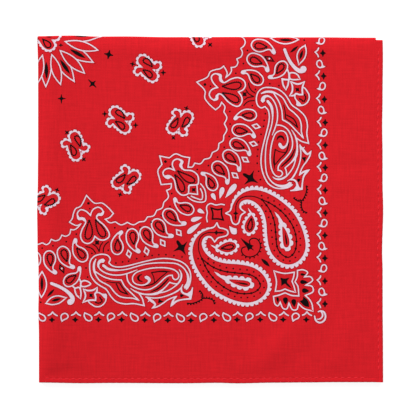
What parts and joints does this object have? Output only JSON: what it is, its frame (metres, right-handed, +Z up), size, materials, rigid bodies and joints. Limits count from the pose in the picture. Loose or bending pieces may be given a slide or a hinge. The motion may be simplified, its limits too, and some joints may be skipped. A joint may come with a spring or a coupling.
{
  "type": "bandana",
  "caption": "Square cotton bandana with a printed paisley design, folded in quarters and lying flat, with turned and stitched hems.",
  "frame": {"origin": "centre of the underside of the bounding box, on the surface that the folded bandana lies on", "axes": "+Z up out of the printed front, +Y towards the top fold, +X towards the hemmed right side, away from the left fold"},
  "size_m": [0.279, 0.2804, 0.0053],
  "materials": {
    "printed_cotton": "matte plain-weave cotton, red, printed in white and black",
    "hem_cotton": "matte plain-weave cotton hem, turned and lockstitched in red thread"
  },
  "bodies": {
    "root": {"front_quarter": "printed_cotton", "hidden_layers": "printed_cotton", "back_quarter": "printed_cotton", "front_hem_right": "hem_cotton", "front_hem_bottom": "hem_cotton", "upper_inner_hem_right": "hem_cotton", "upper_inner_hem_bottom": "hem_cotton", "lower_inner_hem_right": "hem_cotton", "lower_inner_hem_bottom": "hem_cotton", "back_hem_right": "hem_cotton", "back_hem_bottom": "hem_cotton"}
  },
  "joints": []
}
